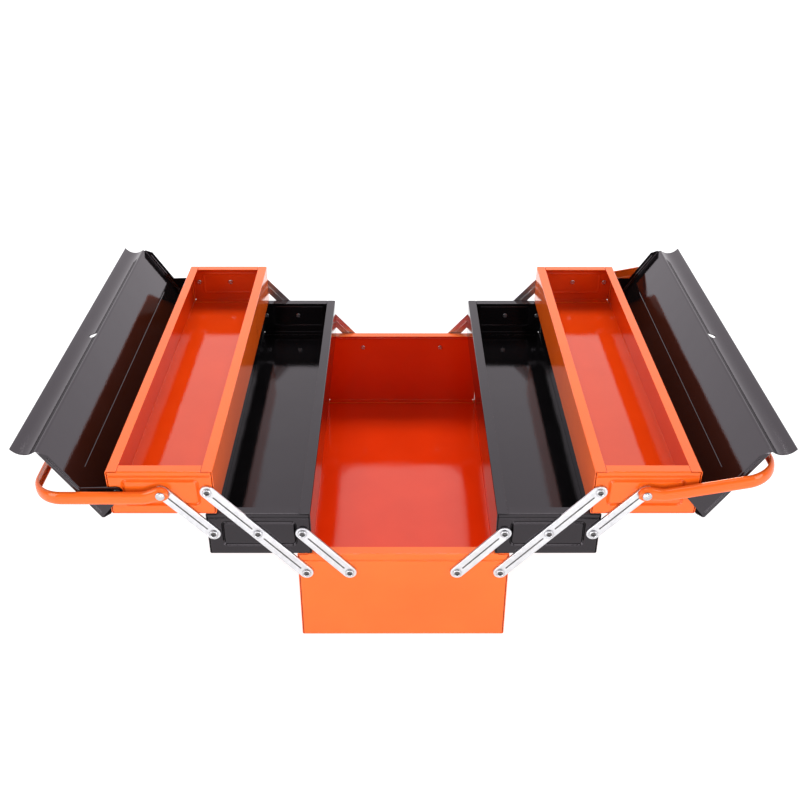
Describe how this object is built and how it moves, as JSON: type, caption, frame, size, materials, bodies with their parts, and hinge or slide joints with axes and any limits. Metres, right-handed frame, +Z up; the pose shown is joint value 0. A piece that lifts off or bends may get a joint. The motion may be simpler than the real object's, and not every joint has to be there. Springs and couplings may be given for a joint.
{
  "type": "cantilever toolbox",
  "caption": "Sheet-steel cantilever toolbox, open: deep base, stepped folding trays on flat links, hinged lids and U-shaped bail handles at both sides.",
  "frame": {"origin": "centre of the underside of the base", "axes": "+Z up, trays fold out along +X and -X, the length of the box lies along Y with its front end facing -Y"},
  "size_m": [0.6928, 0.4588, 0.2247],
  "materials": {
    "orange_paint": "gloss orange enamel",
    "black_paint": "gloss black enamel",
    "zinc_steel": "bright zinc plate",
    "rivet_steel": "bright zinc plate"
  },
  "bodies": {
    "base": {"base_shell": "orange_paint", "base_front_panel": "orange_paint", "base_rear_panel": "orange_paint", "left_front_rivet_p1": "rivet_steel", "left_front_rivet_p2": "rivet_steel", "left_rear_rivet_p1": "rivet_steel", "left_rear_rivet_p2": "rivet_steel", "right_front_rivet_p1": "rivet_steel", "right_front_rivet_p2": "rivet_steel", "right_rear_rivet_p1": "rivet_steel", "right_rear_rivet_p2": "rivet_steel"},
    "left_long_links": {"left_front_long_link": "zinc_steel", "left_rear_long_link": "zinc_steel"},
    "left_inner_links": {"left_front_inner_link": "zinc_steel", "left_rear_inner_link": "zinc_steel"},
    "left_outer_links": {"left_front_outer_link": "zinc_steel", "left_rear_outer_link": "zinc_steel"},
    "left_mid_tray": {"left_mid_tray_shell": "black_paint", "left_mid_tray_front_panel": "black_paint", "left_mid_tray_rear_panel": "black_paint", "left_front_rivet_m0": "rivet_steel", "left_front_rivet_m1": "rivet_steel", "left_front_rivet_m2": "rivet_steel", "left_rear_rivet_m0": "rivet_steel", "left_rear_rivet_m1": "rivet_steel", "left_rear_rivet_m2": "rivet_steel"},
    "left_upper_tray": {"left_upper_tray_shell": "orange_paint", "left_upper_tray_front_panel": "orange_paint", "left_upper_tray_rear_panel": "orange_paint", "left_front_rivet_u0": "rivet_steel", "left_front_rivet_u1": "rivet_steel", "left_rear_rivet_u0": "rivet_steel", "left_rear_rivet_u1": "rivet_steel"},
    "left_handle": {"left_handle": "orange_paint"},
    "left_lid": {"left_lid": "black_paint"},
    "right_long_links": {"right_front_long_link": "zinc_steel", "right_rear_long_link": "zinc_steel"},
    "right_inner_links": {"right_front_inner_link": "zinc_steel", "right_rear_inner_link": "zinc_steel"},
    "right_outer_links": {"right_front_outer_link": "zinc_steel", "right_rear_outer_link": "zinc_steel"},
    "right_mid_tray": {"right_mid_tray_shell": "black_paint", "right_mid_tray_front_panel": "black_paint", "right_mid_tray_rear_panel": "black_paint", "right_front_rivet_m0": "rivet_steel", "right_front_rivet_m1": "rivet_steel", "right_front_rivet_m2": "rivet_steel", "right_rear_rivet_m0": "rivet_steel", "right_rear_rivet_m1": "rivet_steel", "right_rear_rivet_m2": "rivet_steel"},
    "right_upper_tray": {"right_upper_tray_shell": "orange_paint", "right_upper_tray_front_panel": "orange_paint", "right_upper_tray_rear_panel": "orange_paint", "right_front_rivet_u0": "rivet_steel", "right_front_rivet_u1": "rivet_steel", "right_rear_rivet_u0": "rivet_steel", "right_rear_rivet_u1": "rivet_steel"},
    "right_handle": {"right_handle": "orange_paint"},
    "right_lid": {"right_lid": "black_paint"}
  },
  "joints": [
    {"name": "left_fold", "type": "hinge", "parent": "base", "child": "left_long_links", "pos_m": [-0.092, 0, 0.0831], "axis": [0, 1, 0], "range_deg": [0, 83.65]},
    {"name": "left_mid_tray_level", "type": "hinge", "parent": "left_long_links", "child": "left_mid_tray", "pos_m": [-0.1346, 0, 0.1307], "axis": [0, 1, 0], "range_deg": [-83.7, 0]},
    {"name": "left_upper_tray_level", "type": "hinge", "parent": "left_long_links", "child": "left_upper_tray", "pos_m": [-0.1772, 0, 0.1783], "axis": [0, 1, 0], "range_deg": [-83.7, 0]},
    {"name": "left_inner_links_fold", "type": "hinge", "parent": "base", "child": "left_inner_links", "pos_m": [-0.051, 0, 0.0831], "axis": [0, 1, 0], "range_deg": [0, 83.7]},
    {"name": "left_outer_links_fold", "type": "hinge", "parent": "left_mid_tray", "child": "left_outer_links", "pos_m": [-0.1756, 0, 0.1307], "axis": [0, 1, 0], "range_deg": [0, 83.7]},
    {"name": "left_lid_shut", "type": "hinge", "parent": "left_upper_tray", "child": "left_lid", "pos_m": [-0.2582, 0, 0.1783], "axis": [0, 1, 0], "range_deg": [0, 123]},
    {"name": "left_handle_raise", "type": "hinge", "parent": "left_upper_tray", "child": "left_handle", "pos_m": [-0.2182, 0, 0.1783], "axis": [0, 1, 0], "range_deg": [0, 112]},
    {"name": "right_fold", "type": "hinge", "parent": "base", "child": "right_long_links", "pos_m": [0.092, 0, 0.0831], "axis": [0, -1, 0], "range_deg": [0, 83.65]},
    {"name": "right_mid_tray_level", "type": "hinge", "parent": "right_long_links", "child": "right_mid_tray", "pos_m": [0.1346, 0, 0.1307], "axis": [0, -1, 0], "range_deg": [-83.7, 0]},
    {"name": "right_upper_tray_level", "type": "hinge", "parent": "right_long_links", "child": "right_upper_tray", "pos_m": [0.1772, 0, 0.1783], "axis": [0, -1, 0], "range_deg": [-83.7, 0]},
    {"name": "right_inner_links_fold", "type": "hinge", "parent": "base", "child": "right_inner_links", "pos_m": [0.051, 0, 0.0831], "axis": [0, -1, 0], "range_deg": [0, 83.7]},
    {"name": "right_outer_links_fold", "type": "hinge", "parent": "right_mid_tray", "child": "right_outer_links", "pos_m": [0.1756, 0, 0.1307], "axis": [0, -1, 0], "range_deg": [0, 83.7]},
    {"name": "right_lid_shut", "type": "hinge", "parent": "right_upper_tray", "child": "right_lid", "pos_m": [0.2582, 0, 0.1783], "axis": [0, -1, 0], "range_deg": [0, 123]},
    {"name": "right_handle_raise", "type": "hinge", "parent": "right_upper_tray", "child": "right_handle", "pos_m": [0.2182, 0, 0.1783], "axis": [0, -1, 0], "range_deg": [0, 100.5]}
  ],
  "couplings": [
    {"joint": "left_mid_tray_level", "follows": "left_fold", "ratio": -1},
    {"joint": "left_upper_tray_level", "follows": "left_fold", "ratio": -1},
    {"joint": "left_inner_links_fold", "follows": "left_fold", "ratio": 1},
    {"joint": "left_outer_links_fold", "follows": "left_fold", "ratio": 1},
    {"joint": "left_handle_raise", "follows": "left_lid_shut", "ratio": 0.91056},
    {"joint": "right_mid_tray_level", "follows": "right_fold", "ratio": -1},
    {"joint": "right_upper_tray_level", "follows": "right_fold", "ratio": -1},
    {"joint": "right_inner_links_fold", "follows": "right_fold", "ratio": 1},
    {"joint": "right_outer_links_fold", "follows": "right_fold", "ratio": 1},
    {"joint": "right_handle_raise", "follows": "right_lid_shut", "ratio": 0.81707}
  ]
}
